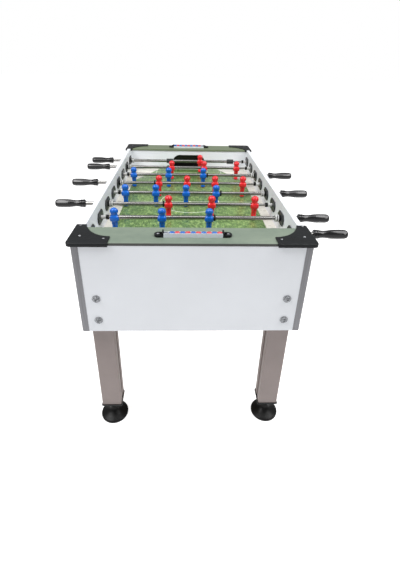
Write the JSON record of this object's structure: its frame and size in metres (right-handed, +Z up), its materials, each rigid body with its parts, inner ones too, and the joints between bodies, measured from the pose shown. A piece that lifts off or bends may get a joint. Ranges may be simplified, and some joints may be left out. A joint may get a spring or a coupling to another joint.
{
  "type": "foosball table",
  "caption": "Full-size foosball table: white cabinet on square legs, green field, telescopic rods with red and blue men, dark grips and bead score counters",
  "frame": {"origin": "on the floor under the centre of the playing field", "axes": "+Z up, +Y along the table's length to its far end, +X across it along the rods"},
  "size_m": [1.1854, 1.45, 0.873],
  "materials": {
    "white_laminate": "satin",
    "green_laminate": "satin",
    "anodised_aluminium": "satin",
    "black_plastic": "satin",
    "black_rubber": "matte",
    "zinc_steel": "satin",
    "plain_board": "raw",
    "field_print": "satin print",
    "white_plastic": "satin",
    "leg_paint": "satin",
    "foot_rubber": "satin",
    "chrome_rod": "polished",
    "handle_black": "satin",
    "men_red": "gloss",
    "men_blue": "gloss",
    "bead_plastic": "gloss"
  },
  "bodies": {
    "cabinet": {"ball_return": "plain_board", "base_board": "plain_board", "bearing_bushes": "black_plastic", "bearing_plates": "black_plastic", "corner_guards": "black_plastic", "corner_posts": "anodised_aluminium", "counter_bars": "white_plastic", "counter_brackets": "black_plastic", "end_panel_far": "white_laminate", "end_panel_near": "white_laminate", "end_shelves": "green_laminate", "field_cleats": "plain_board", "field_ramps": "white_plastic", "goal_walls": "white_laminate", "leg_bolts": "zinc_steel", "leg_caps": "black_plastic", "legs": "leg_paint", "playfield": "field_print", "shelf_screws": "zinc_steel", "side_board_left": "white_laminate", "side_board_right": "white_laminate", "wall_rings": "black_rubber"},
    "beads_far": {"counter_beads_far": "bead_plastic"},
    "beads_near": {"counter_beads_near": "bead_plastic"},
    "rod_1": {"handle_1": "handle_black", "men_1": "men_red", "rod_tube_1": "chrome_rod"},
    "rod_2": {"handle_2": "handle_black", "men_2": "men_red", "rod_tube_2": "chrome_rod"},
    "rod_3": {"handle_3": "handle_black", "men_3": "men_blue", "rod_tube_3": "chrome_rod"},
    "rod_4": {"handle_4": "handle_black", "men_4": "men_red", "rod_tube_4": "chrome_rod"},
    "rod_5": {"handle_5": "handle_black", "men_5": "men_blue", "rod_tube_5": "chrome_rod"},
    "rod_6": {"handle_6": "handle_black", "men_6": "men_red", "rod_tube_6": "chrome_rod"},
    "rod_7": {"handle_7": "handle_black", "men_7": "men_blue", "rod_tube_7": "chrome_rod"},
    "rod_8": {"handle_8": "handle_black", "men_8": "men_blue", "rod_tube_8": "chrome_rod"},
    "inner_rod_1": {"inner_rod_1": "chrome_rod"},
    "inner_rod_2": {"inner_rod_2": "chrome_rod"},
    "inner_rod_3": {"inner_rod_3": "chrome_rod"},
    "inner_rod_4": {"inner_rod_4": "chrome_rod"},
    "inner_rod_5": {"inner_rod_5": "chrome_rod"},
    "inner_rod_6": {"inner_rod_6": "chrome_rod"},
    "inner_rod_7": {"inner_rod_7": "chrome_rod"},
    "inner_rod_8": {"inner_rod_8": "chrome_rod"},
    "foot_far_left": {"levelling_foot_far_left": "foot_rubber"},
    "foot_far_right": {"levelling_foot_far_right": "foot_rubber"},
    "foot_near_left": {"levelling_foot_near_left": "foot_rubber"},
    "foot_near_right": {"levelling_foot_near_right": "foot_rubber"}
  },
  "joints": [
    {"name": "rod_spin_1", "type": "hinge", "parent": "cabinet", "child": "inner_rod_1", "pos_m": [0, 0.525, 0.8], "axis": [1, 0, 0], "continuous": true},
    {"name": "rod_push_1", "type": "slide", "parent": "inner_rod_1", "child": "rod_1", "axis": [-1, 0, 0], "range_m": [-0.0525, 0.2022]},
    {"name": "rod_spin_2", "type": "hinge", "parent": "cabinet", "child": "inner_rod_2", "pos_m": [0, 0.375, 0.8], "axis": [1, 0, 0], "continuous": true},
    {"name": "rod_push_2", "type": "slide", "parent": "inner_rod_2", "child": "rod_2", "axis": [-1, 0, 0], "range_m": [-0.033, 0.2132]},
    {"name": "rod_spin_3", "type": "hinge", "parent": "cabinet", "child": "inner_rod_3", "pos_m": [0, 0.225, 0.8], "axis": [1, 0, 0], "continuous": true},
    {"name": "rod_push_3", "type": "slide", "parent": "inner_rod_3", "child": "rod_3", "axis": [1, 0, 0], "range_m": [-0.0065, 0.2397]},
    {"name": "rod_spin_4", "type": "hinge", "parent": "cabinet", "child": "inner_rod_4", "pos_m": [0, 0.075, 0.8], "axis": [1, 0, 0], "continuous": true},
    {"name": "rod_push_4", "type": "slide", "parent": "inner_rod_4", "child": "rod_4", "axis": [-1, 0, 0], "range_m": [-0.0385, 0.1567]},
    {"name": "rod_spin_5", "type": "hinge", "parent": "cabinet", "child": "inner_rod_5", "pos_m": [0, -0.075, 0.8], "axis": [1, 0, 0], "continuous": true},
    {"name": "rod_push_5", "type": "slide", "parent": "inner_rod_5", "child": "rod_5", "axis": [1, 0, 0], "range_m": [-0.0035, 0.1917]},
    {"name": "rod_spin_6", "type": "hinge", "parent": "cabinet", "child": "inner_rod_6", "pos_m": [0, -0.225, 0.8], "axis": [1, 0, 0], "continuous": true},
    {"name": "rod_push_6", "type": "slide", "parent": "inner_rod_6", "child": "rod_6", "axis": [-1, 0, 0], "range_m": [-0.029, 0.2172]},
    {"name": "rod_spin_7", "type": "hinge", "parent": "cabinet", "child": "inner_rod_7", "pos_m": [0, -0.375, 0.8], "axis": [1, 0, 0], "continuous": true},
    {"name": "rod_push_7", "type": "slide", "parent": "inner_rod_7", "child": "rod_7", "axis": [1, 0, 0], "range_m": [-0.0025, 0.2437]},
    {"name": "rod_spin_8", "type": "hinge", "parent": "cabinet", "child": "inner_rod_8", "pos_m": [0, -0.525, 0.8], "axis": [1, 0, 0], "continuous": true},
    {"name": "rod_push_8", "type": "slide", "parent": "inner_rod_8", "child": "rod_8", "axis": [1, 0, 0], "range_m": [-0.0329, 0.2218]},
    {"name": "height_foot_far_left", "type": "slide", "parent": "cabinet", "child": "foot_far_left", "axis": [0, 0, -1], "range_m": [-0.022, 0.03]},
    {"name": "height_foot_far_right", "type": "slide", "parent": "cabinet", "child": "foot_far_right", "axis": [0, 0, -1], "range_m": [-0.022, 0.03]},
    {"name": "height_foot_near_left", "type": "slide", "parent": "cabinet", "child": "foot_near_left", "axis": [0, 0, -1], "range_m": [-0.022, 0.03]},
    {"name": "height_foot_near_right", "type": "slide", "parent": "cabinet", "child": "foot_near_right", "axis": [0, 0, -1], "range_m": [-0.022, 0.03]},
    {"name": "score_far", "type": "slide", "parent": "cabinet", "child": "beads_far", "axis": [1, 0, 0], "range_m": [0, 0.018]},
    {"name": "score_near", "type": "slide", "parent": "cabinet", "child": "beads_near", "axis": [-1, 0, 0], "range_m": [0, 0.018]}
  ]
}
